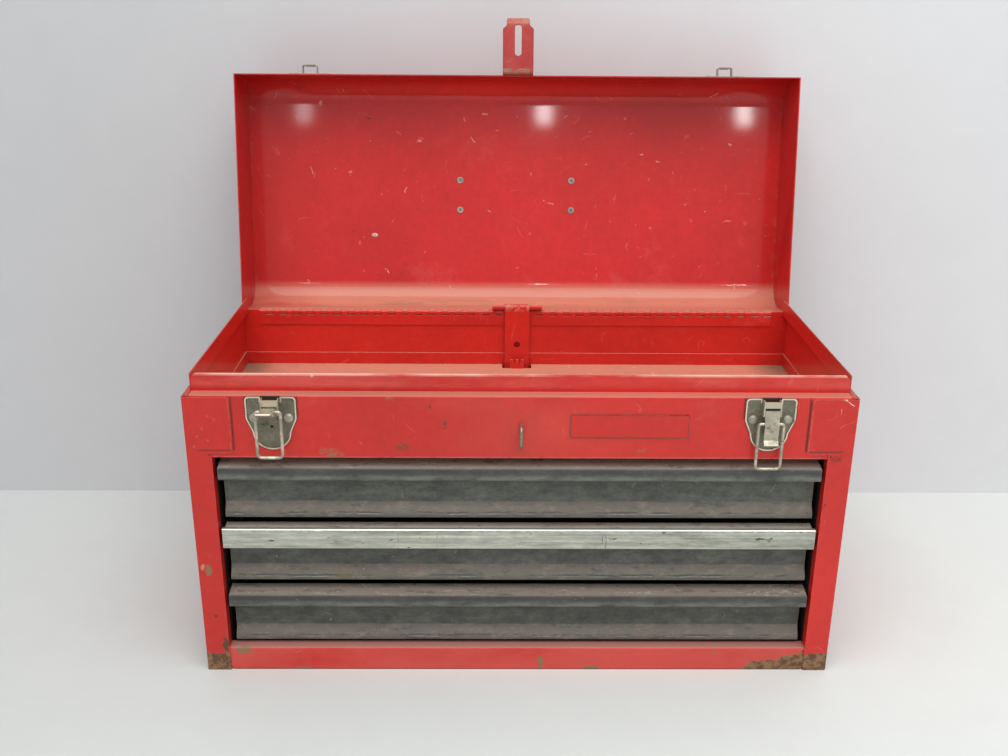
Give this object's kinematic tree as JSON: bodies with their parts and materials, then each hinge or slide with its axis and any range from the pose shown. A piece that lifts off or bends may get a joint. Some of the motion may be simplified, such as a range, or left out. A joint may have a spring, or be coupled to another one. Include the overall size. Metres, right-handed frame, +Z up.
{
  "type": "portable tool chest",
  "caption": "Portable steel tool chest with drawers below a shallow till, a lift-up lid with draw latches and a hasp, a folding handle, and a bar that locks the drawers when the lid shuts.",
  "frame": {"origin": "centre of the base, on the surface the chest stands on", "axes": "+X to the right seen from the drawers, +Y to the back, +Z up"},
  "size_m": [0.52, 0.3381, 0.5127],
  "materials": {
    "red_enamel": "worn gloss",
    "drawer_enamel": "worn satin",
    "aluminium_trim": "brushed",
    "plated_steel": "tarnished",
    "bright_wire": "polished",
    "hasp_enamel": "worn",
    "badge_finish": "gloss",
    "grip_plastic": "satin"
  },
  "bodies": {
    "case": {"left_side": "red_enamel", "right_side": "red_enamel", "back_panel": "red_enamel", "front_top_rail": "red_enamel", "bottom_front_rail": "red_enamel", "bottom_pan": "red_enamel", "till_pan": "red_enamel", "left_rear_post": "red_enamel", "right_rear_post": "red_enamel", "left_top_runner": "red_enamel", "left_middle_runner": "red_enamel", "left_bottom_runner": "red_enamel", "right_top_runner": "red_enamel", "right_middle_runner": "red_enamel", "right_bottom_runner": "red_enamel", "hinge_lower_leaf": "red_enamel", "hinge_pin": "plated_steel", "left_latch_plate": "plated_steel", "right_latch_plate": "plated_steel", "left_lever_pin": "plated_steel", "right_lever_pin": "plated_steel", "latch_rivets": "plated_steel", "hasp_staple": "plated_steel", "badge_plate": "badge_finish"},
    "lid": {"lid_shell": "red_enamel", "lid_left_end": "red_enamel", "lid_right_end": "red_enamel", "hinge_upper_leaf": "red_enamel", "left_strike": "plated_steel", "right_strike": "plated_steel", "strike_rivets": "plated_steel", "hasp_leaf": "hasp_enamel", "hasp_pin": "hasp_enamel", "handle_left_bracket": "plated_steel", "handle_right_bracket": "plated_steel", "handle_rivets": "plated_steel", "lock_bracket": "red_enamel", "lock_pin": "plated_steel"},
    "hasp_flap_body": {"hasp_flap": "hasp_enamel"},
    "handle": {"handle_rod": "plated_steel", "handle_grip": "grip_plastic"},
    "lock_bar_body": {"lock_bar": "red_enamel"},
    "top_drawer": {"top_drawer_front": "drawer_enamel", "top_drawer_tray": "drawer_enamel"},
    "middle_drawer": {"middle_drawer_front": "drawer_enamel", "middle_drawer_tray": "drawer_enamel", "middle_drawer_trim": "aluminium_trim"},
    "bottom_drawer": {"bottom_drawer_front": "drawer_enamel", "bottom_drawer_tray": "drawer_enamel"},
    "left_lever_body": {"left_lever": "plated_steel"},
    "right_lever_body": {"right_lever": "plated_steel"},
    "left_bail_body": {"left_bail": "bright_wire"},
    "right_bail_body": {"right_bail": "bright_wire"}
  },
  "joints": [
    {"name": "lid_hinge", "type": "hinge", "parent": "case", "child": "lid", "pos_m": [0, 0.1094, 0.248], "axis": [1, 0, 0], "range_deg": [0, 100]},
    {"name": "hasp_hinge", "type": "hinge", "parent": "lid", "child": "hasp_flap_body", "pos_m": [0, 0.14632, 0.466], "axis": [1, 0, 0], "range_deg": [-80, 90]},
    {"name": "handle_hinge", "type": "hinge", "parent": "lid", "child": "handle", "pos_m": [0, 0.18808, 0.34521], "axis": [1, 0, 0], "range_deg": [-1.5, 161]},
    {"name": "lock_bar_hinge", "type": "hinge", "parent": "lid", "child": "lock_bar_body", "pos_m": [0.001, 0.10653, 0.25419], "axis": [1, 0, 0], "range_deg": [-100, 0]},
    {"name": "top_drawer_slide", "type": "slide", "parent": "case", "child": "top_drawer", "axis": [0, -1, 0], "range_m": [0, 0.15]},
    {"name": "middle_drawer_slide", "type": "slide", "parent": "case", "child": "middle_drawer", "axis": [0, -1, 0], "range_m": [0, 0.15]},
    {"name": "bottom_drawer_slide", "type": "slide", "parent": "case", "child": "bottom_drawer", "axis": [0, -1, 0], "range_m": [0, 0.15]},
    {"name": "left_lever_hinge", "type": "hinge", "parent": "case", "child": "left_lever_body", "pos_m": [-0.192, -0.1126, 0.2365], "axis": [1, 0, 0], "range_deg": [-15, 90]},
    {"name": "left_bail_hinge", "type": "hinge", "parent": "left_lever_body", "child": "left_bail_body", "pos_m": [-0.192, -0.1216, 0.2387], "axis": [-1, 0, 0], "range_deg": [-15, 90]},
    {"name": "right_lever_hinge", "type": "hinge", "parent": "case", "child": "right_lever_body", "pos_m": [0.192, -0.1126, 0.2365], "axis": [1, 0, 0], "range_deg": [-105, 0]},
    {"name": "right_bail_hinge", "type": "hinge", "parent": "right_lever_body", "child": "right_bail_body", "pos_m": [0.192, -0.1148, 0.2275], "axis": [-1, 0, 0], "range_deg": [0, 180]}
  ],
  "couplings": [
    {"joint": "lock_bar_hinge", "follows": "lid_hinge", "ratio": -1},
    {"joint": "left_bail_hinge", "follows": "left_lever_hinge", "ratio": 1}
  ]
}
